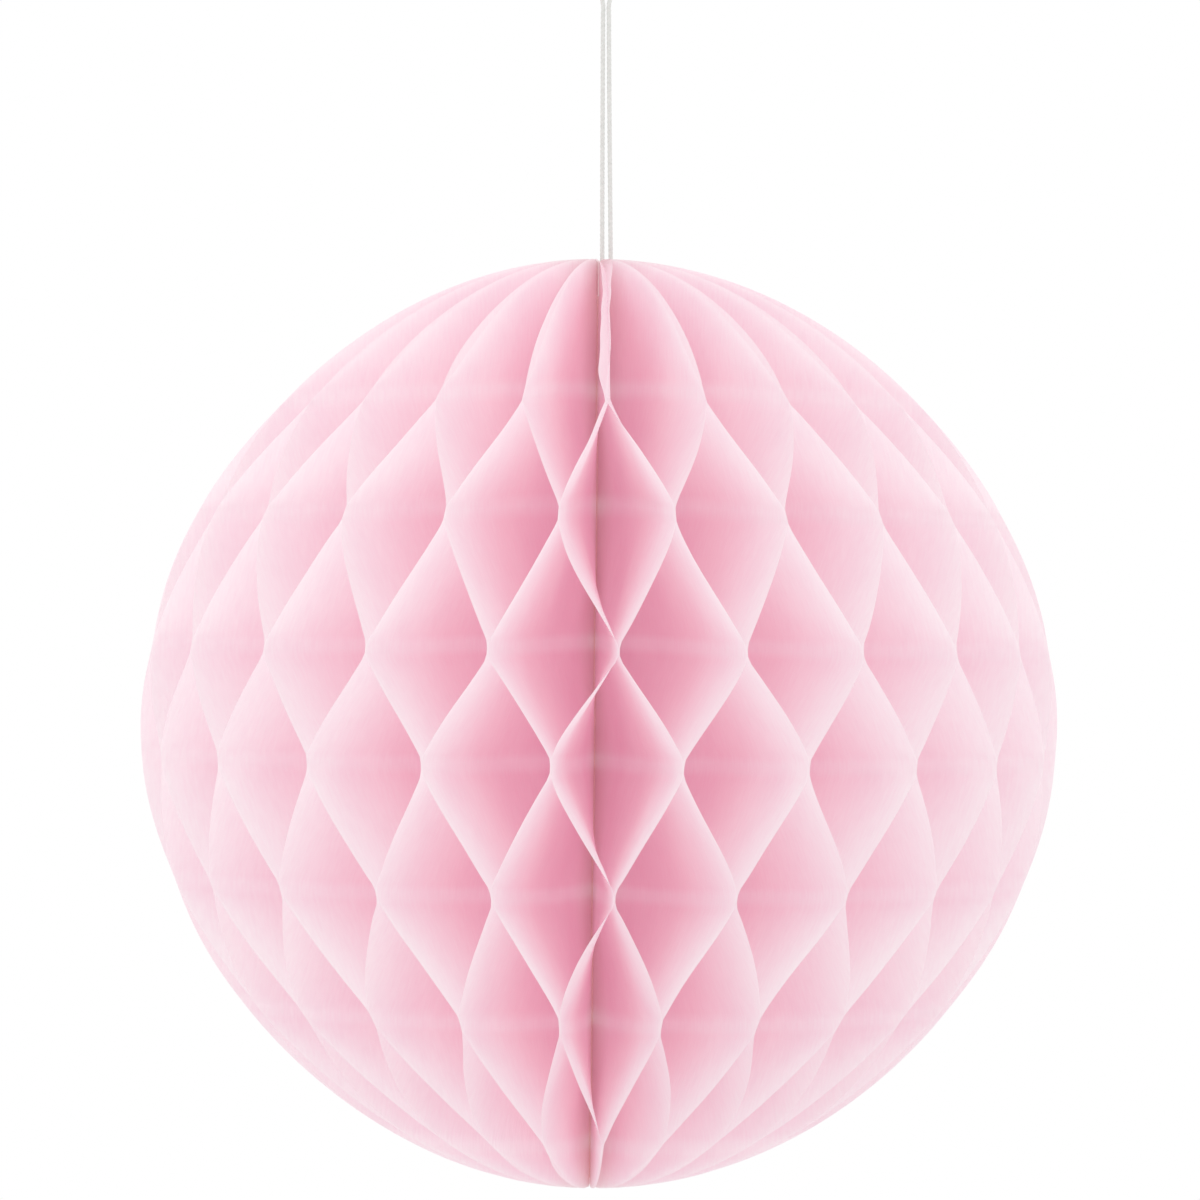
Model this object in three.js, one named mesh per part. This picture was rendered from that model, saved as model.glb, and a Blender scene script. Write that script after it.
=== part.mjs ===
// A honeycomb paper ball that hangs on a loop of string, as a three.js scene graph.
// Millimetres, +Z up. The origin is where a hook would carry the loop, and the ball hangs below it.
//
// The ball is a stack of half-disc tissue leaves. Their straight edges are bound together on the
// axis, and the fan is opened all the way round. Each leaf is glued to one neighbour along the
// heights called A and to the other neighbour along the heights called B, about halfway between, so
// the open fan becomes a honeycomb of tall diamond cells that run in to the axis.

import * as THREE from 'three';

// Driving dimensions, in millimetres unless the name says otherwise
const leaf_radius = 100; // the half-disc as it was cut
const leaf_pairs = 23; // two leaves make a pair, glued to each other at the A heights
const tissue_thickness = 0.2; // a stiffened sheet, with its glue
const glue_gap = 0.2; // left between two leaves that are glued
const glue_line_height = 2.4; // how tall a glued stripe is
const crossing_ease = 0.15; // share of a leaf's crossing between two stripes that is an S, not straight
const stripe_pitch = 52.4; // from one A stripe down to the next A stripe
const b_stripe_drop = 24.3; // from an A stripe down to the B stripe below it
const first_stripe_drop = 30; // from the top of the leaf down to the first A stripe
const last_stripe_margin = 8; // no stripe comes nearer to the bottom of the leaf than this
const leaf_tip_reach = 6; // each leaf is trimmed to this width at its two tips
const open_reach = 0.986; // the open leaf reaches this share of its cut radius
const rim_droop = 0.08; // share of its height that the rim loses as the cells open
const pole_lens = 0.25; // how far a pair opens between its last glue line and the pole, 0 to 1
const pole_step = 10.5; // degrees between the rows of points near a pole
const front_pair_angle = 2.2; // degrees from straight ahead to the first glued pair
const fan_drift = 1.76; // degrees by which the hand-opened fan strays from an even one, once round
const fan_drift_start = 61.8; // degrees
const fan_wobble = 0.66; // the same, twice round
const fan_wobble_start = 210.4;

const cover_thickness = 0.5;
const cover_radius = 96;
const cover_gap = 0.3; // between the two covers, where they are pasted together
const fan_clearance = 1.05; // leaves and covers start where the fan has this much room, as a factor
const narrow_leaf_share = 0.7; // where a leaf is narrower than the covers' start, it stands off this far out

const seat_gap = 0.3; // between pieces that touch
const string_diameter = 1;
const string_pitch = 1.6; // between the two strands, centre to centre
const string_reach = 72; // from the top of the ball up to the hook
const loop_width = 7; // across the eye at the top, centre to centre
const knot_height = 4;
const knot_sink = 3.7; // from the top of the ball down to the knot
const knot_offset = 0.5; // from the axis to the right, where the string was tied
const knot_waist = 0.12; // share by which the knot is slimmer at its middle and its ends
const knot_fullness = 0.6; // how square the knot's section is, 1 is round and 0 is square
const spine_end_drop = 2; // from the bottom of the leaves up to the end of the spine
const spine_chamfer_share = 0.25; // of the spine's radius

// How finely the round pieces are faceted
const turned_sides = 16;
const knot_rings = 8;
const card_arc_steps = 24;
const loop_sides = 8;
const loop_steps = 60;

// Worked-out sizes
const leaf_count = 2 * leaf_pairs;
const leaf_turn = (2 * Math.PI) / leaf_count;
const pair_turn = 2 * leaf_turn;
const seam_pair = Math.floor(leaf_pairs / 2); // the covers meet at the back, as far round as it goes
const radians = THREE.MathUtils.degToRad;
const tightest_turn = leaf_turn * (1 - radians(fan_drift) - 2 * radians(fan_wobble));
const ball_centre_z = -(leaf_radius + string_reach);
const half_stack = (tissue_thickness + glue_gap) / 2;
const inner_radius = (fan_clearance * 2 * half_stack) / tightest_turn;
const spine_radius = inner_radius - seat_gap;
const spine_chamfer = spine_chamfer_share * spine_radius;
const cover_stack = cover_gap / 2 + cover_thickness + glue_gap + tissue_thickness / 2;
const cover_inner_radius = (fan_clearance * cover_stack) / (tightest_turn / 2);
const seam_angle = radians(front_pair_angle) + seam_pair * pair_turn;

// Where the fan really stands for the angle that it would have if it were opened evenly.
// It was opened by hand, so it is closer on one side than on the other.
function fanAngle(even) {
  const drift = Math.sin(even + radians(fan_drift_start)) - Math.sin(radians(fan_drift_start));
  const wobble = Math.sin(2 * even + radians(fan_wobble_start)) - Math.sin(radians(fan_wobble_start));
  return even + radians(fan_drift) * drift + radians(fan_wobble) * wobble;
}

// Glue lines from the top down: A, B, A, B and so on, as heights on the flat leaf
function glueHeights() {
  const heights = [];
  const lowest = -(leaf_radius - last_stripe_margin);
  for (let a = leaf_radius - first_stripe_drop; a > lowest; a -= stripe_pitch) {
    heights.push(a, a - b_stripe_drop);
  }
  return heights.filter((h) => h > lowest);
}

// The rows of points from a tip of the leaf to the glue line nearest to it, at even steps round the
// rim. There a glued pair opens only into a slim lens. h is the height on the flat leaf, and lean is
// how far the leaf leans: 1 towards its A neighbour, -1 towards its B neighbour.
function poleRows(line, sign) {
  const tip_angle = Math.asin(leaf_tip_reach / leaf_radius);
  const line_angle = Math.acos(Math.abs(line) / leaf_radius);
  const steps = Math.max(2, Math.round((line_angle - tip_angle) / radians(pole_step)));
  const rows = [];
  for (let i = 0; i < steps; i++) {
    const share = i / steps;
    const angle = THREE.MathUtils.lerp(tip_angle, line_angle, share);
    const lens = pole_lens * Math.sin(Math.PI * share);
    rows.push({ h: Math.sign(line) * leaf_radius * Math.cos(angle), lean: sign * (1 - lens) });
  }
  return rows;
}

// All rows of a leaf from the top down. Each glue line is flat, and between two lines the leaf
// crosses over, nearly straight.
function leafRows() {
  const heights = glueHeights();
  const half_line = glue_line_height / 2;
  const signOf = (k) => (k % 2 === 0 ? 1 : -1);
  const last = heights.length - 1;
  const rows = poleRows(heights[0] + half_line, signOf(0));
  heights.forEach((h, k) => {
    rows.push({ h: h + half_line, lean: signOf(k) });
    rows.push({ h: h - half_line, lean: signOf(k) });
    if (k === last) return;
    const crossing = h - heights[k + 1] - glue_line_height;
    for (const share of [1 / 3, 2 / 3]) {
      const across = THREE.MathUtils.lerp(share, THREE.MathUtils.smoothstep(share, 0, 1), crossing_ease);
      rows.push({ h: h - half_line - crossing * share, lean: signOf(k) * (1 - 2 * across) });
    }
  });
  return rows.concat(poleRows(heights[last] - half_line, signOf(last)).reverse());
}

// A point of the open leaf, by its place on the flat leaf: s out from the axis, h up.
// The opened cells pull the rim in a little and draw it towards the equator.
function openedRadius(s) {
  return THREE.MathUtils.mapLinear(s, inner_radius, leaf_radius, inner_radius, leaf_radius * open_reach);
}
function openedHeight(s, h) {
  return h * (1 - rim_droop * (s / leaf_radius) ** 2);
}

// A closed solid between two like grids of points, its two faces.
// faces[side][row][column] is a Vector3; side 0 looks the way opposite to side 1.
function slabGeometry(faces) {
  const rows = faces[0].length;
  const columns = faces[0][0].length;
  const points = [];
  const index = (side, row, column) => (side * rows + row) * columns + column;
  for (const point of faces.flat(2)) points.push(point.x, point.y, point.z);

  const triangles = [];
  const quad = (a, b, c, d) => triangles.push(a, b, c, a, c, d);
  for (let j = 0; j < rows - 1; j++) {
    for (let i = 0; i < columns - 1; i++) {
      quad(index(0, j, i), index(0, j, i + 1), index(0, j + 1, i + 1), index(0, j + 1, i));
      triangles.push(index(1, j, i), index(1, j + 1, i + 1), index(1, j, i + 1));
      triangles.push(index(1, j, i), index(1, j + 1, i), index(1, j + 1, i + 1));
    }
    quad(index(0, j, 0), index(0, j + 1, 0), index(1, j + 1, 0), index(1, j, 0));
    const last = columns - 1;
    quad(index(0, j, last), index(1, j, last), index(1, j + 1, last), index(0, j + 1, last));
  }
  for (let i = 0; i < columns - 1; i++) {
    quad(index(0, 0, i), index(1, 0, i), index(1, 0, i + 1), index(0, 0, i + 1));
    const last = rows - 1;
    quad(index(0, last, i), index(0, last, i + 1), index(1, last, i + 1), index(1, last, i));
  }
  const geometry = new THREE.BufferGeometry();
  geometry.setAttribute('position', new THREE.Float32BufferAttribute(points, 3));
  geometry.setIndex(triangles);
  geometry.computeVertexNormals();
  return geometry;
}

// One tissue leaf, standing on the axis and facing -Y. half_turn is how far it leans to each side.
// side is 1 where its A neighbour lies anticlockwise of it, seen from above, and -1 where it lies
// the other way. A leaf beside a cover stands off by the cover's thickness as well.
function leafGeometry(side, half_turn, beside_cover) {
  const standOff = (s) => {
    if (!beside_cover) return half_stack;
    const share = (s - inner_radius) / (cover_inner_radius - inner_radius);
    return THREE.MathUtils.lerp(half_stack, cover_stack, THREE.MathUtils.clamp(share, 0, 1));
  };
  const rows = leafRows();
  const faces = [1, -1].map((face) =>
    rows.map(({ h, lean }) => {
      const rim = Math.sqrt(leaf_radius ** 2 - h ** 2);
      const cover_start = Math.min(cover_inner_radius, narrow_leaf_share * rim);
      const reaches = beside_cover ? [inner_radius, cover_start, rim] : [inner_radius, rim];
      const angle = side * lean * half_turn;
      return reaches.map((s) => {
        const stand_off = lean > 0 ? standOff(s) : half_stack;
        const across = -side * lean * stand_off + face * (tissue_thickness / 2);
        const r = openedRadius(s);
        return new THREE.Vector3(
          r * Math.sin(angle) + across * Math.cos(angle),
          -r * Math.cos(angle) + across * Math.sin(angle),
          openedHeight(s, h),
        );
      });
    }),
  );
  return slabGeometry(faces);
}

// A half-disc card cover, with its inner edge cut straight where the fan leaves room for it
function coverGeometry() {
  const start = Math.acos(cover_inner_radius / cover_radius);
  const outline = new THREE.Shape();
  outline.absarc(0, 0, cover_radius, -start, start, false);
  outline.closePath();
  const card = new THREE.ExtrudeGeometry(outline, {
    depth: cover_thickness,
    bevelEnabled: false,
    curveSegments: card_arc_steps,
  });
  // The outline's x points out from the axis to -Y, its y points up, its depth points to -X
  card.rotateX(Math.PI / 2);
  card.rotateZ(-Math.PI / 2);
  return card;
}

// The glued back edges of the leaves, a slim core between the two tips
function spineGeometry() {
  const bottom = -(leaf_radius - spine_end_drop);
  const top = leaf_radius - knot_sink - knot_height - seat_gap;
  return new THREE.LatheGeometry([
    new THREE.Vector2(0, bottom),
    new THREE.Vector2(spine_radius - spine_chamfer, bottom),
    new THREE.Vector2(spine_radius, bottom + spine_chamfer),
    new THREE.Vector2(spine_radius, top - spine_chamfer),
    new THREE.Vector2(spine_radius - spine_chamfer, top),
    new THREE.Vector2(0, top),
  ], turned_sides);
}

// The knot that ties the string round the stitched top of the spine, down in the well of the pole
function knotGeometry() {
  const half = knot_height / 2;
  const knot_radius = spine_radius - knot_offset;
  const profile = [new THREE.Vector2(0, -half)];
  for (let i = 1; i < knot_rings; i++) {
    const angle = -Math.PI / 2 + (Math.PI * i) / knot_rings;
    const waist = 1 - knot_waist * Math.cos(2 * angle) ** 2;
    const reach = knot_radius * Math.cos(angle) ** knot_fullness * waist;
    profile.push(new THREE.Vector2(reach, half * Math.sin(angle)));
  }
  profile.push(new THREE.Vector2(0, half));
  return new THREE.LatheGeometry(profile, turned_sides);
}

// The hanging loop: up one strand, round the eye and down the other. Points are chosen by hand
// as [x, z], x in half pitches at the strands and in half loop widths at the eye. The strands run
// straight from the hook to the knot, which was tied a little to the right of the axis.
function loopGeometry() {
  const strand = string_pitch / 2;
  const eye = loop_width / 2;
  const foot = -string_reach - knot_sink + seat_gap;
  const crown = string_diameter / 2;
  const right_side = [
    [strand, foot],
    [strand, foot + 6],
    [strand, foot + 24],
    [strand, foot + 40],
    [strand, -20],
    [strand, -17],
    [eye * 0.42, -13.5],
    [eye * 0.76, -9.5],
    [eye, -4.2],
    [eye * 0.72, -0.6],
  ];
  const left_side = right_side.map(([x, z]) => [-x, z]).reverse();
  const route = [...right_side, [0, crown], ...left_side].map(
    ([x, z]) => new THREE.Vector3(x + knot_offset * Math.max(z / foot, 0), 0, z),
  );
  const corners = [];
  for (let i = 0; i < loop_sides; i++) {
    const corner = new THREE.Vector2(string_diameter / 2, 0);
    corners.push(corner.rotateAround(new THREE.Vector2(), (2 * Math.PI * i) / loop_sides));
  }
  const section = new THREE.Shape(corners);
  return new THREE.ExtrudeGeometry(section, {
    extrudePath: new THREE.CatmullRomCurve3(route, false, 'centripetal'),
    steps: loop_steps,
    bevelEnabled: false,
  });
}

// Materials, by what each piece is made of
const tissue = new THREE.MeshStandardMaterial({ color: 0xfbdbe4, roughness: 0.9, metalness: 0 });
const card = new THREE.MeshStandardMaterial({ color: 0xf4c3d0, roughness: 0.85, metalness: 0 });
const paste = new THREE.MeshStandardMaterial({ color: 0xcf8ea0, roughness: 0.9, metalness: 0 });
const cotton = new THREE.MeshStandardMaterial({ color: 0xf4f1ea, roughness: 0.95, metalness: 0 });

const part = new THREE.Group();
const ball = new THREE.Group();
ball.position.z = ball_centre_z;
part.add(ball);

function addPiece(group, name, geometry, material, turn = 0) {
  const mesh = new THREE.Mesh(geometry, material);
  mesh.name = name;
  mesh.rotation.z = turn;
  group.add(mesh);
  return mesh;
}

// Leaves are numbered anticlockwise, seen from above, from one cover round to the other.
// Odd leaves lean clockwise at the A heights and even ones anticlockwise.
for (let i = 1; i <= leaf_count; i++) {
  const side = i % 2 === 0 ? 1 : -1;
  const beside_cover = i === 1 || i === leaf_count;
  const low = fanAngle(seam_angle + leaf_turn * (i - 1));
  const high = fanAngle(seam_angle + leaf_turn * i);
  const shape = leafGeometry(side, (high - low) / 2, beside_cover);
  addPiece(ball, `leaf_${String(i).padStart(2, '0')}`, shape, tissue, (low + high) / 2);
}

// The two covers stand face to face on the seam, each pasted to the leaf beside it
const cover_offsets = { cover_first: cover_gap / 2 + cover_thickness, cover_last: -cover_gap / 2 };
for (const [name, offset] of Object.entries(cover_offsets)) {
  const shape = coverGeometry();
  shape.translate(offset, 0, 0);
  addPiece(ball, name, shape, card, fanAngle(seam_angle));
}

addPiece(ball, 'spine_binding', spineGeometry().rotateX(Math.PI / 2), paste);
const knot = addPiece(ball, 'string_knot', knotGeometry().rotateX(Math.PI / 2), cotton);
knot.position.set(knot_offset, 0, leaf_radius - knot_sink - knot_height / 2);
addPiece(part, 'hanging_loop', loopGeometry(), cotton);

export default part;
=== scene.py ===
# %% [markdown]
# # A honeycomb paper ball on its string
#
# The real thing is a stack of half-disc tissue leaves. Their straight edges are bound together,
# each leaf is glued to its two neighbours in stripes, and the stack is fanned open all the way
# round until its two card covers meet. The glue lines hold the leaves together and the paper
# between them spreads, so the round rim turns into rows of diamond cells that run in to the axis.
#
# This script dresses the imported model of that ball. Every leaf is one surface worked out from a
# formula, the string is a twisted thread, and the pink comes from thin, pale paper that passes the
# light on from leaf to leaf, with painted shade that deepens it in the cells.

# %% Load the fixed frame
import math

import bmesh
import bpy
import numpy as np
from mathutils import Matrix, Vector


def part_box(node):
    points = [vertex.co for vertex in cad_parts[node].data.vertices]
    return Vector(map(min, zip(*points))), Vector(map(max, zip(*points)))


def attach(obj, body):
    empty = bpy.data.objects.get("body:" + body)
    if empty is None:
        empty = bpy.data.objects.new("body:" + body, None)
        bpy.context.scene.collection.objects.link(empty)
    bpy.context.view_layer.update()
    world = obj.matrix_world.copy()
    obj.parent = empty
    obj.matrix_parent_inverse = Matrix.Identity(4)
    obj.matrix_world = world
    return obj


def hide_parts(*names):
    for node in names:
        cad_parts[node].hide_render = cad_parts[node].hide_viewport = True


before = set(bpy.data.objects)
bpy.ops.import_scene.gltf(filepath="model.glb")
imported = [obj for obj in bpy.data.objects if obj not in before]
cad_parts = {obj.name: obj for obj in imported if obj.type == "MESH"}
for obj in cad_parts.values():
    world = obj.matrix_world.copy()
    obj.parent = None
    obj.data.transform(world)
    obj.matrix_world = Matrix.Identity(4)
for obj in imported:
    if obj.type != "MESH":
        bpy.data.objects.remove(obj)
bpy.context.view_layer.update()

# %% [markdown]
# ## Sizes
#
# Lengths are in metres. The ball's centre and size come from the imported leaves. The stripes of glue
# and the string's sizes can't be read from a box, so they are written here as the real sizes.
#
# The glue lines of this ball aren't quite evenly spaced. stripe_stray says how far each of the seven
# strays from its even place, from the top one down. The bound edges stand 1 mm left of the ball's
# middle too, and the leaves and covers bend over to them within bound_reach.

# %% Sizes of the leaf and the string
MM = 0.001
leaf_names = sorted(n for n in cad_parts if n.startswith("leaf_"))
leaf_boxes = np.array([[list(corner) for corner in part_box(n)] for n in leaf_names])
ball_low, ball_high = leaf_boxes[:, 0].min(axis=0), leaf_boxes[:, 1].max(axis=0)

leaf_radius = 100 * MM
ball_centre_z = (ball_low[2] + ball_high[2]) / 2
leaf_count = len(leaf_names)
leaf_turn = 2 * math.pi / leaf_count
front_pair_angle = math.radians(2.2)
seam_pair = 11
fan_drift, fan_drift_start = math.radians(1.76), math.radians(61.8)
fan_wobble, fan_wobble_start = math.radians(0.66), math.radians(210.4)

stripe_pitch = 52.4 * MM
b_stripe_drop = 24.3 * MM
first_stripe_drop = 30 * MM
stripe_height = 3.2 * MM
lowest_stripe = -92 * MM
stripe_stray = np.array([1.6, 1.2, 0.0, -1.0, -1.2, -4.2, -2.8]) * MM
crossing_ease = 0.15
open_reach = 0.986
rim_droop = 0.08
leaf_tip_reach = 6 * MM

string_diameter = 1 * MM
string_reach = 72 * MM
loop_width = 7 * MM
knot_sink = 3.7 * MM
knot_height = 4 * MM
knot_offset = 0.75 * MM
bound_stray = -1.0 * MM
bound_reach = 60 * MM
spine_radius = 1.15 * MM
cover_radius = 96 * MM
cover_thickness = 0.5 * MM
cover_gap = 0.3 * MM
seat_gap = 0.3 * MM
print("leaves:", leaf_count, " ball centre z:", round(ball_centre_z, 4))

# %% [markdown]
# ## The camera
#
# The photograph was taken from straight in front with a long lens. The spacing of the cells fits a
# camera 1.3 m from the ball, level, at the height of the middle of the picture, and the ball leans
# half a degree to the right, which is given to the camera as a small roll.

# %% Camera at the photograph's view
camera_distance = 1.300
pixels_per_metre = 4635.0
picture_size = 1200.0
ball_below_middle = 123.0 / pixels_per_metre
lean = 0.0093

camera_data = bpy.data.cameras.new("camera")
camera = bpy.data.objects.new("camera", camera_data)
bpy.context.scene.collection.objects.link(camera)
camera_data.sensor_width = 36.0
camera_data.lens = 36.0 * camera_distance * pixels_per_metre / picture_size
camera_data.clip_start, camera_data.clip_end = 0.05, 50.0
camera.location = (0.0, -camera_distance, ball_centre_z + ball_below_middle)
camera.rotation_euler = (math.pi / 2, -lean, 0.0)
bpy.context.scene.camera = camera
print("lens, mm:", round(camera_data.lens, 1))

# %% [markdown]
# ## Turning arrays into meshes
#
# A sheet is a grid of points: rows one way, columns the other. All faces of a grid follow one
# pattern, so their corner numbers are worked out for the whole grid at once.

# %% Grid and ring meshes
def grid_faces(rows, columns, wrap=False):
    """Corner numbers of the quads of a grid. With wrap, the last column joins the first."""
    across = columns if wrap else columns - 1
    j, i = np.meshgrid(np.arange(rows - 1), np.arange(across), indexing="ij")
    right = (i + 1) % columns
    this_row, next_row = j * columns, (j + 1) * columns
    return np.stack([this_row + i, this_row + right, next_row + right, next_row + i], -1).reshape(-1, 4)


def make_mesh(name, points, quads, uv=None, attributes=None, smooth=True):
    """A mesh object from an array of points and an array of quads, with a UV for each point."""
    mesh = bpy.data.meshes.new(name)
    mesh.vertices.add(len(points))
    mesh.vertices.foreach_set("co", np.asarray(points, dtype=np.float32).ravel())
    mesh.loops.add(quads.size)
    mesh.loops.foreach_set("vertex_index", quads.astype(np.int32).ravel())
    mesh.polygons.add(len(quads))
    mesh.polygons.foreach_set("loop_start", np.arange(0, quads.size, 4, dtype=np.int32))
    mesh.polygons.foreach_set("use_smooth", np.full(len(quads), smooth))
    if uv is not None:
        layer = mesh.uv_layers.new(name="sheet")
        layer.data.foreach_set("uv", np.asarray(uv, dtype=np.float32)[quads.ravel()].ravel())
    for key, values in (attributes or {}).items():
        attribute = mesh.attributes.new(key, "FLOAT", "POINT")
        attribute.data.foreach_set("value", values.astype(np.float32).ravel())
    mesh.update()
    mesh.validate()
    piece = bpy.data.objects.new(name, mesh)
    bpy.context.scene.collection.objects.link(piece)
    return piece


def tube(name, path, radius, sides, twist=0.0, plies=0, ply_depth=0.0):
    """A closed round tube along path, whose radius may be ridged by plies that turn by twist radians a metre.
    Point = path + radius * ridge * (cos(angle) * side + sin(angle) * third), with side and third square to
    the path's own direction and kept from turning by a fixed axis."""
    path = np.asarray(path)
    tangent = np.gradient(path, axis=0)
    tangent /= np.linalg.norm(tangent, axis=1, keepdims=True)
    side = np.cross(tangent, np.array([0.0, 1.0, 0.0]))
    weak = np.linalg.norm(side, axis=1) < 0.2
    side[weak] = np.cross(tangent[weak], np.array([1.0, 0.0, 0.0]))
    side /= np.linalg.norm(side, axis=1, keepdims=True)
    third = np.cross(side, tangent)
    along = np.concatenate([[0], np.cumsum(np.linalg.norm(np.diff(path, axis=0), axis=1))])
    angle = np.linspace(0, 2 * np.pi, sides, endpoint=False)
    turned = angle[None, :] + twist * along[:, None]
    ridge = 1 - ply_depth * (1 - np.abs(np.cos(plies * turned / 2))) if plies else np.ones((len(path), sides))
    reach = np.broadcast_to(np.asarray(radius), (len(path),))[:, None] * ridge
    ring = (np.cos(angle)[None, :, None] * side[:, None] + np.sin(angle)[None, :, None] * third[:, None])
    points = (path[:, None] + reach[..., None] * ring).reshape(-1, 3)
    around, out_along = angle[None, :] / (2 * np.pi), along[:, None] / string_diameter
    uv = np.stack(np.broadcast_arrays(around, out_along), -1).reshape(-1, 2)
    piece = make_mesh(name, points, grid_faces(len(path), sides, wrap=True)[:, ::-1], uv)
    shell = bmesh.new()
    shell.from_mesh(piece.data)
    bmesh.ops.holes_fill(shell, edges=[e for e in shell.edges if e.is_boundary])
    bmesh.ops.recalc_face_normals(shell, faces=shell.faces)
    shell.to_mesh(piece.data)
    shell.free()
    return piece


# %% [markdown]
# ## The string
#
# Two strands of thin white thread rise from the top of the ball, side by side and taut, and leave
# the picture. They are one loop: the thread goes up, round the eye that hangs on a hook, and down
# again, and both ends are tied in a knot down in the well of the pole. It could be a plain tube, but
# a thread this close to the eye shows its twist, so its section has plies that turn along it. The
# string was tied a little to the right of the axis, and leans back to it on its way up.

# %% Hanging loop
def smooth_path(points, samples):
    """A Catmull-Rom curve through the points, centripetal, with even spacing along its length."""
    points = np.asarray(points)
    padded = np.vstack([2 * points[0] - points[1], points, 2 * points[-1] - points[-2]])
    knots = np.concatenate([[0], np.cumsum(np.sqrt(np.linalg.norm(np.diff(padded, axis=0), axis=1)))])
    pieces = []
    for k in range(1, len(padded) - 2):
        t = np.linspace(knots[k], knots[k + 1], 60)[:, None]
        t0, t1, t2, t3 = knots[k - 1 : k + 3]
        p0, p1, p2, p3 = padded[k - 1 : k + 3]
        a1 = (t1 - t) / (t1 - t0) * p0 + (t - t0) / (t1 - t0) * p1
        a2 = (t2 - t) / (t2 - t1) * p1 + (t - t1) / (t2 - t1) * p2
        a3 = (t3 - t) / (t3 - t2) * p2 + (t - t2) / (t3 - t2) * p3
        b1 = (t2 - t) / (t2 - t0) * a1 + (t - t0) / (t2 - t0) * a2
        b2 = (t3 - t) / (t3 - t1) * a2 + (t - t1) / (t3 - t1) * a3
        pieces.append((t2 - t) / (t2 - t1) * b1 + (t - t1) / (t2 - t1) * b2)
    dense = np.vstack(pieces)
    along = np.concatenate([[0], np.cumsum(np.linalg.norm(np.diff(dense, axis=0), axis=1))])
    even = np.linspace(0, along[-1], samples)
    return np.stack([np.interp(even, along, dense[:, k]) for k in range(3)], 1), along[-1]


low_strand, high_strand = 0.9 * MM, 0.65 * MM
ply_turn = 2 * math.pi / (3.2 * MM)
eye = loop_width / 2
foot = -string_reach - knot_sink + seat_gap
right_side = [
    (low_strand, foot),
    (low_strand, foot + 6 * MM),
    (high_strand * 0.35 + low_strand * 0.65, foot + 24 * MM),
    (high_strand * 0.75 + low_strand * 0.25, foot + 40 * MM),
    (high_strand, -20 * MM),
    (high_strand, -17 * MM),
    (eye * 0.42, -13.5 * MM),
    (eye * 0.76, -9.5 * MM),
    (eye, -4.2 * MM),
    (eye * 0.72, -0.6 * MM),
]
left_side = [(-x, z) for x, z in reversed(right_side)]
route = [(x + knot_offset * max(z / foot, 0) ** 1.35, 0.0, z)
         for x, z in right_side + [(0.0, string_diameter / 2)] + left_side]
string_path, string_length = smooth_path(route, 620)
string = tube("thread_loop", string_path, string_diameter / 2, 18, ply_turn, plies=3, ply_depth=0.2)
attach(string, "root")
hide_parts("hanging_loop")
print("string length, mm:", round(string_length / MM, 1))

# %% [markdown]
# ## The knot
#
# The two ends of the thread are tied together in the well of the pole, where nothing of it shows
# from the front. It is an overhand knot, and its middle line is the trefoil curve, which is one
# formula and needs no points placed by hand: sin t + 2 sin 2t across, cos t - 2 cos 2t deep and
# -sin 3t up. The thread is drawn a little slimmer there, as it is in a knot that is pulled tight.

# %% Knot in the well of the pole
knot_z = ball_centre_z + leaf_radius - knot_sink - knot_height / 2
knot_width, knot_rise = 0.37 * MM, 1.25 * MM
knot_centre = np.array([knot_offset + 0.3 * MM, 0.5 * MM, knot_z])
turn = np.linspace(0, 2 * np.pi, 220)
knot_curve = knot_centre + np.stack([
    knot_width * (np.sin(turn) + 2 * np.sin(2 * turn)),
    knot_width * (np.cos(turn) - 2 * np.cos(2 * turn)),
    -knot_rise * np.sin(3 * turn),
], 1)
knot = tube("thread_knot", knot_curve, string_diameter * 0.36, 14, ply_turn, plies=3, ply_depth=0.2)
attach(knot, "root")
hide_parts("string_knot")

# %% [markdown]
# ## One leaf
#
# A leaf starts as a flat half-disc. A place on it is s, the distance out from the bound edge, and h,
# the height. Opening the ball does three things to it. It stands at its own angle round the axis. At
# each glue stripe it leans half a step towards the neighbour it is glued to there, so from the side
# it runs to and fro. And the rim comes in a little and droops towards the equator, because the
# slanting paper covers less height. The lean is 1 at a stripe of the A kind, -1 at one of the B kind,
# and crosses over in a slight S between them. Above the first stripe and below the last, a glued pair
# stays together and only opens into a slim lens.
#
# The same shape could be pushed out of a flat grid by hand or by a cloth simulation. A formula gives
# every leaf at once, keeps the glue lines exactly together and is the same on each run.

# %% Stripes of glue and the lean of a leaf
def stripe_heights():
    """Heights of the glue stripes from the top down: A, B, A, B and so on."""
    first = leaf_radius - first_stripe_drop
    starts = first - stripe_pitch * np.arange(4)
    heights = np.stack([starts, starts - b_stripe_drop], 1).ravel()
    return heights[heights > lowest_stripe]


stripes = stripe_heights() + stripe_stray


def leaf_lean(h, lens_open):
    """How far the leaf leans at height h, from 1 at an A stripe to -1 at a B stripe.
    Flat on each stripe, then nearly straight across the gap to the next, with a little of an S."""
    half = stripe_height / 2
    lean_at = np.ones_like(h)
    for k in range(len(stripes) - 1):
        sign = 1 if k % 2 == 0 else -1
        top, bottom = stripes[k] - half, stripes[k + 1] + half
        share = np.clip((top - h) / (top - bottom), 0, 1)
        across = (1 - crossing_ease) * share + crossing_ease * share**2 * (3 - 2 * share)
        lean_at = np.where((h <= stripes[k] + half) & (h > bottom - 1e-9), sign * (1 - 2 * across), lean_at)
    last_sign = 1 if len(stripes) % 2 else -1
    lean_at = np.where(h <= stripes[-1] + half, last_sign, lean_at)
    above = np.clip((h - stripes[0] - half) / (leaf_radius - stripes[0] - half), 0, 1)
    below = np.clip((stripes[-1] - half - h) / (stripes[-1] - half + leaf_radius), 0, 1)
    lens = lens_open * (np.sin(np.pi * above**0.8) + np.sin(np.pi * below**0.8))
    return lean_at * (1 - lens)


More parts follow.
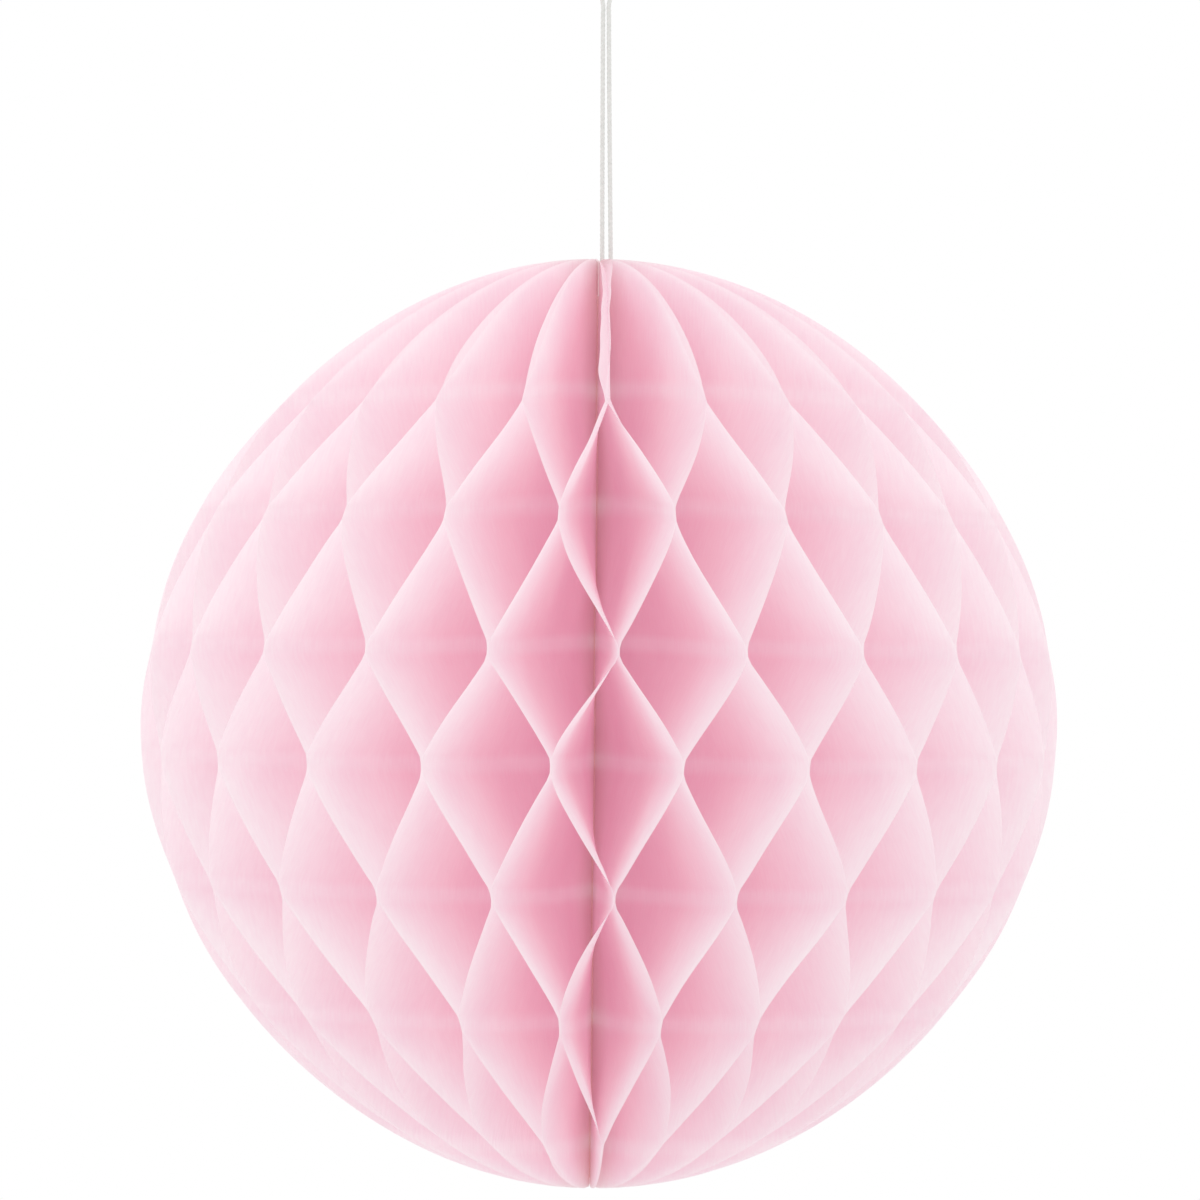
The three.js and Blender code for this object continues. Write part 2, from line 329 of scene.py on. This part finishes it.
seam_angle = front_pair_angle + seam_pair * 2 * leaf_turn
tightest_turn = leaf_turn * (1 - fan_drift - 2 * fan_wobble)
print("stripes, mm from the centre:", np.round(stripes / MM, 1))

# %% [markdown]
# Real leaves are not all alike. The fan is a little closer on one side than on the other, each pair
# opens by its own amount, and thin paper is never flat: it has long soft waves, and the last few
# millimetres of the rim curl aside between two stripes. The waves are small sums of sines whose
# phases are drawn once from a fixed seed.

# %% The small differences between leaves
dice = np.random.default_rng(46)


def fan_angle(even):
    """Where the fan really stands for an even angle: it strays by a sine once round and one twice round."""
    drift = math.sin(even + fan_drift_start) - math.sin(fan_drift_start)
    wobble = math.sin(2 * even + fan_wobble_start) - math.sin(fan_wobble_start)
    return even + fan_drift * drift + fan_wobble * wobble


def bound_shift(s):
    """How far to the side of the axis a sheet is drawn at s: bound_stray * (1 - s / bound_reach)^2."""
    return bound_stray * np.clip(1 - s / bound_reach, 0, 1) ** 2


def paper_waves(s, h, phases):
    """How far the sheet stands off its own surface, in metres: waves up the leaf, across it and askew."""
    a, b, c, d, e, f = phases
    up, out = h / (10 * MM), s / (10 * MM)
    soft = np.sin(1.35 * up + 0.5 * out + a) + 0.7 * np.sin(0.6 * up - 1.3 * out + b)
    fine = 0.35 * np.sin(3.1 * up + 1.4 * out + c) + 0.3 * np.sin(-2.3 * up + 2.9 * out + d)
    slow = 0.8 * np.sin(0.45 * up + e) * np.cos(0.25 * out + f)
    return (soft + fine + slow) * 0.14 * MM


def stripe_mask(h, width):
    """1 on a glue stripe and 0 away from it, with soft sides."""
    away = np.abs(h[..., None] - stripes).min(axis=-1)
    return np.clip(1.5 - away / width, 0, 1)


def between_stripes(h):
    """Number of the gap between two stripes that h lies in, and half a sine wave across that gap."""
    edges = np.concatenate([[leaf_radius], stripes, [-leaf_radius]])
    gap = np.clip(np.searchsorted(-edges, -h) - 1, 0, len(edges) - 2)
    share = (edges[gap] - h) / (edges[gap] - edges[gap + 1])
    return gap, np.sin(np.pi * np.clip(share, 0, 1))


def eased_profile(h, knots):
    """A value over h through knots of (height, value) in mm, going from each to the next in an S."""
    heights, values = np.array(sorted(knots)).T * MM
    k = np.clip(np.searchsorted(heights, h) - 1, 0, len(heights) - 2)
    share = np.clip((h - heights[k]) / (heights[k + 1] - heights[k]), 0, 1)
    return values[k] + (values[k + 1] - values[k]) * share**2 * (3 - 2 * share)


def lip_share(s, rim):
    """0 up to the lip, then (share of the lip)^1.6, which is 1 at the rim."""
    return np.clip((s - rim) / lip_width + 1, 0, 1) ** 1.6


def rim_curl(s, h, rim, amounts):
    """How far the lip curls aside, in metres: its gap's amount * rise^0.45 * lip, where rise is half a
    sine between the stripes and lip is from lip_share."""
    gap, rise = between_stripes(h)
    return amounts[gap] * rise**0.45 * lip_share(s, rim)


# %% [markdown]
# A grid 24 columns wide and 190 rows high is fine enough for a smooth rim and the soft waves, and 46
# such leaves stay well under a million triangles.
#
# The pair of leaves that faces the camera is seen edge on, so what its rims do shows most. Three
# profiles over the height bend it: front_sway leans both leaves aside, front_lip moves both lips, and
# front_bulge moves the left leaf's lip alone, which opens the narrow lens near the top. The knot lies
# in a well: near the top, the leaves beside it start a little further from the axis.
#
# Waves and curls must not push one leaf through the next. So each leaf keeps its stray within
# own_share, which is a little less than half of the room beside it: nothing but a hair on a glue
# line, and most in the middle of a cell. tanh holds it there with no hard stop.

# %% Leaf surfaces
rows, columns = 190, 24
lip_width = 10 * MM
# Painted shade at the bound edge: how far in it reaches, and the lighter share it has on the even leaves.
bound_shade_reach, weak_side_shade = 20 * MM, 0.4
front_pair = (2 * (seam_pair + 1), 2 * (seam_pair + 1) + 1)
front_sway = [(-100, 0), (-7.5, 0), (17.6, 0.2), (46.5, 0), (71, -0.9), (88, -0.4), (93, 0.4), (100, 1.9)]
front_lip = [(-100, 0), (60, 0), (71, 1.0), (82, 0), (100, 0)]
front_bulge = [(-100, 0), (70, 0), (77, 1.9), (83, 2.0), (88, 1.6), (93, 1.6), (100, 2.6)]
inner_edge = 1.3 * MM
well_radius, back_well_radius = 2.6 * MM, 0.9 * MM
well_start, well_slope = 89 * MM, 4 * MM
tissue_stand_off = 0.1 * MM
touching_room, room_used = 0.04 * MM, 0.45
cover_stand_off = 0.95 * MM
cover_top = 98 * MM
cover_inner_radius = 1.05 * cover_stand_off / (tightest_turn / 2)
tip_angle = math.asin(leaf_tip_reach / leaf_radius)
rim_angle = np.linspace(tip_angle, np.pi - tip_angle, rows)
outward = 1 - (1 - np.linspace(0, 1, columns)) ** 1.25


def leaf_surface(number, pair_opening, curls):
    """Points, sheet coordinates and attributes of one leaf.
    r = s * open reach, z = h * (1 - droop * s^2 / R^2), angle = stand + side * lean * half a step. Across the
    sheet it stands off by lean * stand_off and by its stray: own_share * tanh((waves + curl) / own_share)."""
    side = 1 if number % 2 == 0 else -1
    h = leaf_radius * np.cos(rim_angle)[:, None] * np.ones(columns)
    rim = leaf_radius * np.sin(rim_angle)[:, None]
    well = np.clip((h - well_start) / well_slope, 0, 1)
    well_end = well_radius if math.cos(seam_angle + leaf_turn * (number - 0.5)) > 0 else back_well_radius
    start = inner_edge + (well_end - inner_edge) * well**2 * (3 - 2 * well)
    s = start + (rim - start) * outward[None, :]
    lean_here = leaf_lean(h, pair_opening)
    low = fan_angle(seam_angle + leaf_turn * (number - 1))
    high = fan_angle(seam_angle + leaf_turn * number)
    angle = (low + high) / 2 + side * lean_here * (high - low) / 2
    stand_off = np.full_like(s, tissue_stand_off)
    if number in (1, leaf_count):
        beside_cover = np.clip((s - cover_inner_radius) / (4 * MM) + 1, 0, 1)
        beside_cover *= np.clip((cover_top - np.abs(h)) / (3 * MM), 0, 1)
        stand_off += (cover_stand_off - tissue_stand_off) * beside_cover * (lean_here > 0)
    free = 1 - stripe_mask(h, stripe_height)
    room = np.clip((s - 8 * MM) / (50 * MM), 0, 1)
    waves = paper_waves(s, h, dice.uniform(0, 2 * np.pi, 6)) * free * room
    clear = 1 - np.abs(lean_here) ** 6
    stray = waves * (0.25 + 0.75 * clear) - side * rim_curl(s, h, rim, curls)
    room_beside = s * (high - low) / 2 * (1 - np.abs(lean_here))
    own_share = touching_room + room_used * room_beside
    across = own_share * np.tanh(stray / own_share) - side * lean_here * stand_off
    if number in front_pair:
        lip = lip_share(s, rim)
        across += eased_profile(h, front_sway) * (s / np.maximum(rim, 1e-6)) ** 2
        across -= eased_profile(h, front_lip) * lip
        if number == front_pair[0]:
            across -= eased_profile(h, front_bulge) * lip
    r = s * open_reach
    z = ball_centre_z + h * (1 - rim_droop * (s / leaf_radius) ** 2)
    points = np.stack([
        r * np.sin(angle) + across * np.cos(angle) + bound_shift(s),
        -r * np.cos(angle) + across * np.sin(angle),
        z,
    ], -1).reshape(-1, 3)
    uv = np.stack([s / leaf_radius, h / leaf_radius], -1).reshape(-1, 2)
    attributes = {
        # glue marks the stripes that painted light makes paler.
        "glue": stripe_mask(h, stripe_height / 2),
        # depth drives the painted shade that deepens the pink in the cells.
        "depth": np.clip((rim - s) / leaf_radius, 0, 1),
        # bound drives the painted shade at the pasted edge, weaker on the even leaves.
        "bound": np.clip(1 - s / bound_shade_reach, 0, 1) * (weak_side_shade if side > 0 else 1.0),
    }
    return points, uv, attributes


leaf_quads = grid_faces(rows, columns)
openings = 0.10 + 0.14 * dice.random(leaf_count // 2 + 1)
openings[front_pair[0] // 2] = 0.0
curls = dice.uniform(-0.2, 0.6, (leaf_count + 1, len(stripes) + 1)) * MM
curls[front_pair[0]] = 1.2 * MM
curls[front_pair[1]] = 0.6 * MM
curls[front_pair[0] : front_pair[1] + 1, 0] = 0
leaves = []
for number in range(1, leaf_count + 1):
    points, uv, attributes = leaf_surface(number, openings[number // 2], curls[number])
    leaf = make_mesh(f"tissue_{number:02d}", points, leaf_quads, uv, attributes)
    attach(leaf, "root")
    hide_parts(f"leaf_{number:02d}")
    leaves.append(leaf)
print("leaves:", len(leaves), " quads in each:", len(leaf_quads))

# %% [markdown]
# ## The spine
#
# The back edges of the leaves are stitched through and pasted. Deep in the cells this shows as one
# thin dark line. A slim cord of thread wound with paste is near enough to it and costs few faces.
# It stands where the bound edges stand, 1 mm left of the middle.

# %% Stitched spine
spine_low, spine_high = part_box("spine_binding")
spine_heights = np.linspace(spine_low[2], spine_high[2], 300)
spine_line = np.stack([np.full(300, bound_stray), np.zeros(300), spine_heights], 1)
spine = tube("stitched_spine", spine_line, spine_radius, 20, 2 * math.pi / (5 * MM), plies=2, ply_depth=0.18)
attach(spine, "root")
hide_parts("spine_binding")
print("spine, m:", round(spine_heights[0], 4), "to", round(spine_heights[-1], 4))

# %% [markdown]
# ## The covers
#
# Two half-disc cards close the fan at the back, pasted face to face. They were cut a little smaller
# than the tissue, so only a thin line of card shows between the last leaves. Solidify and Bevel
# could make them from a flat outline. Here each is drawn as rings from its section instead, so that
# the edge is slightly rounded, as cut card is, and the faces can bend aside with the leaves.

# %% Card covers
card_section = [(0.0, -1.0), (0.35, -1.0), (0.7, -1.0), (0.995, -1.0), (1.0, -0.6),
                (1.0, 0.6), (0.995, 1.0), (0.7, 1.0), (0.35, 1.0), (0.0, 1.0)]


def card_cover(name, node):
    """A half-disc card. Point = middle + share * (outline - middle), at height * half the thickness, for each
    (share, height) of the section: from the middle of one face, round the edge, to the middle of the other."""
    offset = (cover_gap + cover_thickness) / 2 * (1 if node == "cover_first" else -1)
    start = math.acos(cover_inner_radius / cover_radius)
    arc = np.linspace(-start, start, 140)
    edge = cover_radius * np.stack([np.cos(arc), np.sin(arc)], 1)
    outline = np.vstack([edge, np.linspace(edge[-1], edge[0], 40)[1:-1]])
    middle = np.array([cover_inner_radius + (cover_radius - cover_inner_radius) * 0.42, 0.0])
    share, height = np.array(card_section).T
    out, up = np.moveaxis(middle + (outline - middle) * share[:, None, None], -1, 0).reshape(2, -1)
    across = np.repeat(offset + height * cover_thickness / 2, len(outline))
    seam = fan_angle(seam_angle)
    points = np.stack([
        out * math.sin(seam) + across * math.cos(seam) + bound_shift(out),
        -out * math.cos(seam) + across * math.sin(seam),
        ball_centre_z + up,
    ], 1)
    uv = np.stack([out / leaf_radius, up / leaf_radius], 1)
    piece = make_mesh(name, points, grid_faces(len(card_section), len(outline), wrap=True), uv)
    shell = bmesh.new()
    shell.from_mesh(piece.data)
    bmesh.ops.remove_doubles(shell, verts=shell.verts, dist=1e-7)
    bmesh.ops.recalc_face_normals(shell, faces=shell.faces)
    shell.to_mesh(piece.data)
    shell.free()
    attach(piece, "root")
    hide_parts(node)
    return piece


covers = [card_cover("card_first", "cover_first"), card_cover("card_last", "cover_last")]
print("covers:", [c.name for c in covers])

# %% [markdown]
# ## Paper fibres
#
# Every paper here has the same kind of surface: a cloud of long pale fibres, some fine crinkle, and a
# slow unevenness where the sheet is thicker. A picture of paper could give it, but noise in a node
# group needs no file and never repeats. The group is placed in each material with its own scale. It
# gives a colour, a roughness and a height that only vary over the sheet.

# %% Fibre group
def scaled_noise(nodes, links, vector, scale, stretch, fineness, detail):
    """A noise texture on vector, stretched, whose scale is the group's scale times its own fineness."""
    mapping = nodes.new("ShaderNodeMapping")
    mapping.inputs["Scale"].default_value = stretch
    links.new(vector, mapping.inputs["Vector"])
    finer = nodes.new("ShaderNodeMath")
    finer.operation = "MULTIPLY"
    finer.inputs[1].default_value = fineness
    links.new(scale, finer.inputs[0])
    texture = nodes.new("ShaderNodeTexNoise")
    texture.inputs["Detail"].default_value = detail
    links.new(mapping.outputs["Vector"], texture.inputs["Vector"])
    links.new(finer.outputs[0], texture.inputs["Scale"])
    return texture.outputs["Fac"]


def weighted_sum(nodes, links, first, first_weight, second, second_weight):
    """first * first_weight + second * second_weight, for two noise values."""
    part = nodes.new("ShaderNodeMath")
    part.operation = "MULTIPLY"
    links.new(second, part.inputs[0])
    part.inputs[1].default_value = second_weight
    total = nodes.new("ShaderNodeMath")
    total.operation = "MULTIPLY_ADD"
    links.new(first, total.inputs[0])
    total.inputs[1].default_value = first_weight
    links.new(part.outputs[0], total.inputs[2])
    return total.outputs[0]


def fibre_group():
    """Inputs Vector, Colour, Shade, Contrast and Scale; outputs Colour, Roughness and Height.
    Where the sheet is thicker, its colour is multiplied by a part of the shade."""
    group = bpy.data.node_groups.new("paper_fibres", "ShaderNodeTree")
    for name, kind in (("Vector", "Vector"), ("Colour", "Color"), ("Shade", "Color"), ("Contrast", "Float"),
                       ("Scale", "Float")):
        group.interface.new_socket(name, in_out="INPUT", socket_type="NodeSocket" + kind)
    for name, kind in (("Colour", "Color"), ("Roughness", "Float"), ("Height", "Float")):
        group.interface.new_socket(name, in_out="OUTPUT", socket_type="NodeSocket" + kind)
    nodes, links = group.nodes, group.links
    inside, outside = nodes.new("NodeGroupInput"), nodes.new("NodeGroupOutput")
    vector, scale = inside.outputs["Vector"], inside.outputs["Scale"]
    clouds = scaled_noise(nodes, links, vector, scale, (1, 1, 1), 0.35, 3)
    fibres = scaled_noise(nodes, links, vector, scale, (5, 0.8, 5), 2.2, 4)
    creases = scaled_noise(nodes, links, vector, scale, (2.4, 0.8, 1), 0.9, 2)

    look_through = weighted_sum(nodes, links, clouds, 0.5, fibres, 0.5)
    spread = nodes.new("ShaderNodeMapRange")
    spread.inputs["From Min"].default_value = 0.35
    spread.inputs["From Max"].default_value = 0.65
    links.new(look_through, spread.inputs["Value"])
    dim = nodes.new("ShaderNodeMath")
    dim.operation = "MULTIPLY"
    links.new(spread.outputs["Result"], dim.inputs[0])
    links.new(inside.outputs["Contrast"], dim.inputs[1])
    tint = nodes.new("ShaderNodeMix")
    tint.data_type = "RGBA"
    tint.blend_type = "MULTIPLY"
    links.new(dim.outputs[0], tint.inputs["Factor"])
    links.new(inside.outputs["Colour"], tint.inputs["A"])
    links.new(inside.outputs["Shade"], tint.inputs["B"])
    links.new(tint.outputs["Result"], outside.inputs["Colour"])

    rough = nodes.new("ShaderNodeMapRange")
    rough.inputs["To Min"].default_value = 0.82
    rough.inputs["To Max"].default_value = 0.96
    links.new(fibres, rough.inputs["Value"])
    links.new(rough.outputs["Result"], outside.inputs["Roughness"])
    links.new(weighted_sum(nodes, links, creases, 1.0, fibres, 0.25), outside.inputs["Height"])
    return group


fibres_group = fibre_group()
print("group:", fibres_group.name, "with", len(fibres_group.nodes), "nodes")

# %% [markdown]
# ## Tissue
#
# Tissue is so thin that light comes through it. Part of the light that falls on a leaf bounces off the
# front and part of it glows out of the back, so the material mixes a matt surface with a translucent
# one. The sheet itself is a very pale pink. The pink gets strong deep in the cells, because there the
# light has bounced from leaf to leaf many times and loses a little more green each time.
#
# Only the first bounces are followed here, so the rest is painted shade in the sheet's colour: it
# deepens slightly with the attribute depth, the distance in from the rim. Painted light makes the paper a
# little paler on the glue stripes, where the narrow folds would shade it, and painted shade darkens the edge
# that was pasted, marked by the attribute bound, one side more than the other.

# %% Tissue material
def hex_linear(red, green, blue):
    """A display colour, 0 to 255 a channel, as the linear values that a shader takes."""
    c = np.array([red, green, blue]) / 255
    return tuple(np.where(c <= 0.04045, c / 12.92, ((c + 0.055) / 1.055) ** 2.4)) + (1.0,)


def start_material(name):
    """An empty material with an output node."""
    material = bpy.data.materials.new(name)
    material.use_nodes = True
    material.node_tree.nodes.clear()
    output = material.node_tree.nodes.new("ShaderNodeOutputMaterial")
    return material, material.node_tree.nodes, material.node_tree.links, output


def paper_surface(nodes, links, shade, scale, contrast, bump):
    """The fibre group on the sheet's own UV, and a Bump node on it. Returns the group and the normal."""
    coordinates = nodes.new("ShaderNodeUVMap")
    coordinates.uv_map = "sheet"
    fibres = nodes.new("ShaderNodeGroup")
    fibres.node_tree = fibres_group
    links.new(coordinates.outputs["UV"], fibres.inputs["Vector"])
    fibres.inputs["Shade"].default_value = shade
    fibres.inputs["Scale"].default_value = scale
    fibres.inputs["Contrast"].default_value = contrast
    relief = nodes.new("ShaderNodeBump")
    relief.inputs["Strength"].default_value = bump
    relief.inputs["Distance"].default_value = 0.2 * MM
    links.new(fibres.outputs["Height"], relief.inputs["Height"])
    return fibres, relief.outputs["Normal"]


def attribute_ramp(nodes, links, attribute, stops):
    """A colour ramp over an attribute of the mesh, from stops of a place and a display colour."""
    value = nodes.new("ShaderNodeAttribute")
    value.attribute_name = attribute
    ramp = nodes.new("ShaderNodeValToRGB")
    while len(ramp.color_ramp.elements) < len(stops):
        ramp.color_ramp.elements.new(1.0)
    for element, (place, colour) in zip(ramp.color_ramp.elements, stops):
        element.position = place
        element.color = hex_linear(*colour)
    links.new(value.outputs["Fac"], ramp.inputs["Fac"])
    return ramp.outputs["Color"]


# Painted shade: the tissue's pink deepens with depth, in from the rim, in place of the bounces not followed.
depth_shade_stops = [(0.0, (255, 249, 251)), (0.04, (255, 247, 250)), (0.2, (255, 242, 246)), (0.32, (254, 237, 242)),
               (0.52, (252, 232, 239)), (0.9, (251, 229, 237))]
# Painted light: the glue stripes are drawn a little paler, against the shade of the narrow folds there.
glue_painted_light, glue_light_share = (255, 252, 253), 0.5
# Painted shade: the tissue darkens towards the bound edge.
bound_shade_stops = [(0.0, (255, 255, 255)), (0.8, (248, 246, 244)), (0.96, (242, 236, 230)), (1.0, (220, 195, 188))]
thick_shade = (247, 225, 236)
light_through = 0.7


def tissue_material():
    """Matt and translucent shares of one colour: painted shade over depth and the bound edge, painted light on
    the glue stripes, then the fibres.
    """
    material, nodes, links, output = start_material("pink_tissue")
    # Painted light on the glue stripes.
    stripe = nodes.new("ShaderNodeAttribute")
    stripe.attribute_name = "glue"
    share = nodes.new("ShaderNodeMath")
    share.operation = "MULTIPLY"
    links.new(stripe.outputs["Fac"], share.inputs[0])
    share.inputs[1].default_value = glue_light_share
    glued = nodes.new("ShaderNodeMix")
    glued.data_type = "RGBA"
    links.new(share.outputs[0], glued.inputs["Factor"])
    links.new(attribute_ramp(nodes, links, "depth", depth_shade_stops), glued.inputs["A"])
    glued.inputs["B"].default_value = hex_linear(*glue_painted_light)
    # Painted shade at the bound edge, one side of each pair more than the other.
    bound_shaded = nodes.new("ShaderNodeMix")
    bound_shaded.data_type = "RGBA"
    bound_shaded.blend_type = "MULTIPLY"
    bound_shaded.inputs["Factor"].default_value = 1.0
    links.new(glued.outputs["Result"], bound_shaded.inputs["A"])
    links.new(attribute_ramp(nodes, links, "bound", bound_shade_stops), bound_shaded.inputs["B"])
    fibres, normal = paper_surface(nodes, links, hex_linear(*thick_shade), scale=14.0, contrast=0.3, bump=0.7)
    links.new(bound_shaded.outputs["Result"], fibres.inputs["Colour"])
    matt = nodes.new("ShaderNodeBsdfPrincipled")
    matt.inputs["Specular IOR Level"].default_value = 0.15
    links.new(fibres.outputs["Colour"], matt.inputs["Base Color"])
    links.new(fibres.outputs["Roughness"], matt.inputs["Roughness"])
    links.new(normal, matt.inputs["Normal"])
    glow = nodes.new("ShaderNodeBsdfTranslucent")
    links.new(fibres.outputs["Colour"], glow.inputs["Color"])
    links.new(normal, glow.inputs["Normal"])
    mix = nodes.new("ShaderNodeMixShader")
    mix.inputs["Fac"].default_value = light_through
    links.new(matt.outputs[0], mix.inputs[1])
    links.new(glow.outputs[0], mix.inputs[2])
    links.new(mix.outputs[0], output.inputs["Surface"])
    return material


tissue = tissue_material()
for leaf in leaves:
    leaf.data.materials.append(tissue)
print("tissue lets", light_through, "of its light through")

# %% [markdown]
# ## Card, paste and thread
#
# The covers are card of the same pink, a shade stronger and with a finer, fainter fibre. The spine is
# thread soaked in paste, darker and duller. The string is white cotton with a soft sheen. All three
# let no light through, so one function makes them from their colour and the scale of their fibres.

# %% Card, paste and thread materials
def matt_material(name, colour, scale, contrast, bump, sheen=0.0):
    """A matt fibre material with an optional sheen."""
    material, nodes, links, output = start_material(name)
    fibres, normal = paper_surface(nodes, links, (0.0, 0.0, 0.0, 1.0), scale, contrast, bump)
    fibres.inputs["Colour"].default_value = colour
    matt = nodes.new("ShaderNodeBsdfPrincipled")
    matt.inputs["Specular IOR Level"].default_value = 0.2
    matt.inputs["Sheen Weight"].default_value = sheen
    links.new(fibres.outputs["Colour"], matt.inputs["Base Color"])
    links.new(fibres.outputs["Roughness"], matt.inputs["Roughness"])
    links.new(normal, matt.inputs["Normal"])
    links.new(matt.outputs[0], output.inputs["Surface"])
    return material


card = matt_material("pink_card", hex_linear(247, 200, 214), 30.0, 0.10, 0.4)
paste = matt_material("pasted_thread", hex_linear(236, 190, 190), 2.0, 0.15, 0.6)
cotton = matt_material("cotton_thread", hex_linear(238, 239, 235), 3.0, 0.15, 0.5, sheen=0.2)
for cover in covers:
    cover.data.materials.append(card)
spine.data.materials.append(paste)
string.data.materials.append(cotton)
knot.data.materials.append(cotton)
print("materials:", [m.name for m in bpy.data.materials])

# %% [markdown]
# ## Studio
#
# The ball hangs in a white studio, lit from all round with no hard shadow. The light is a white world
# of strength 1, the plain level at which a colour renders as it is written. It is a little stronger
# from above, from behind and from the left, and weaker from the other side, by light_slope. A lamp
# would draw shadows of one leaf on the next, which the photograph doesn't have. Where the camera, a
# reflection or clear glass sees the world itself, it is plain white. The floor is pale and lies well
# below the ball.
#
# Light that enters a honeycomb is passed on from leaf to leaf dozens of times before it comes out.
# Following every bounce is slow and still loses light. So only the first few are followed, and the
# rest is taken as even light that reaches every place but the narrowest gaps, which is what many
# bounces between pale leaves come to. narrowest_lit_gap is kept below the space between two glued
# leaves, or their glue lines would turn into dark bands.

# %% Floor, world and bounces
floor_half_width, floor_drop = 2.4, 0.5


def make_floor():
    """A pale square floor, seen from above only, so that a view from below isn't hidden by it."""
    half, below = floor_half_width, ball_low[2] - floor_drop
    corners = np.array([(-half, -half, below), (half, -half, below), (half, half, below), (-half, half, below)])
    floor = make_mesh("floor", corners, np.array([[0, 1, 2, 3]]), smooth=False)
    material, nodes, links, output = start_material("pale_floor")
    matt = nodes.new("ShaderNodeBsdfPrincipled")
    matt.inputs["Base Color"].default_value = (0.86, 0.86, 0.86, 1)
    matt.inputs["Roughness"].default_value = 0.9
    clear = nodes.new("ShaderNodeBsdfTransparent")
    facing = nodes.new("ShaderNodeNewGeometry")
    mix = nodes.new("ShaderNodeMixShader")
    links.new(facing.outputs["Backfacing"], mix.inputs["Fac"])
    links.new(matt.outputs[0], mix.inputs[1])
    links.new(clear.outputs[0], mix.inputs[2])
    links.new(mix.outputs[0], output.inputs["Surface"])
    floor.data.materials.append(material)
    return floor


def math_node(nodes, links, operation, first, second):
    """A math node of two values, each a socket or a number."""
    node = nodes.new("ShaderNodeMath")
    node.operation = operation
    for socket, value in zip(node.inputs, (first, second)):
        if isinstance(value, float):
            socket.default_value = value
        else:
            links.new(value, socket)
    return node.outputs[0]


def light_from_world(nodes, links):
    """White light of strength 1 + slope * (direction . brighter side), and plain white where it is looked at.
    A ray that glows through paper counts as both transmission and diffuse, and still gets the light."""
    direction = nodes.new("ShaderNodeTexCoord").outputs["Generated"]
    toward = nodes.new("ShaderNodeVectorMath")
    toward.operation = "DOT_PRODUCT"
    toward.inputs[1].default_value = brighter_side
    links.new(direction, toward.inputs[0])
    sloped = math_node(nodes, links, "MULTIPLY", toward.outputs["Value"], light_slope)
    strength = math_node(nodes, links, "ADD", sloped, 1.0)
    ray = nodes.new("ShaderNodeLightPath").outputs
    through = math_node(nodes, links, "SUBTRACT", ray["Is Transmission Ray"], ray["Is Diffuse Ray"])
    seen = math_node(nodes, links, "MAXIMUM", ray["Is Camera Ray"], ray["Is Glossy Ray"])
    seen = math_node(nodes, links, "MAXIMUM", seen, through)
    pick = nodes.new("ShaderNodeMix")
    links.new(seen, pick.inputs["Factor"])
    links.new(strength, pick.inputs["A"])
    pick.inputs["B"].default_value = 1.0
    links.new(pick.outputs["Result"], nodes["Background"].inputs["Strength"])
    nodes["Background"].inputs["Color"].default_value = (1, 1, 1, 1)


brighter_side = (-0.3, 0.45, 0.84)
light_slope = 0.14
floor = make_floor()
world = bpy.data.worlds.new("studio")
bpy.context.scene.world = world
world.use_nodes = True
light_from_world(world.node_tree.nodes, world.node_tree.links)
world.cycles.sampling_method = "NONE"

followed_bounces, most_bounces = 2, 12
narrowest_lit_gap = 0.15 * MM
cycles = bpy.context.scene.cycles
cycles.max_bounces = most_bounces
cycles.diffuse_bounces = most_bounces
cycles.transmission_bounces = most_bounces
cycles.use_fast_gi = True
cycles.fast_gi_method = "REPLACE"
cycles.ao_bounces = followed_bounces
cycles.ao_bounces_render = followed_bounces
world.light_settings.distance = narrowest_lit_gap
world.light_settings.ao_factor = 1.0
bpy.context.scene.view_settings.view_transform = "Standard"
print("bounces followed:", followed_bounces)
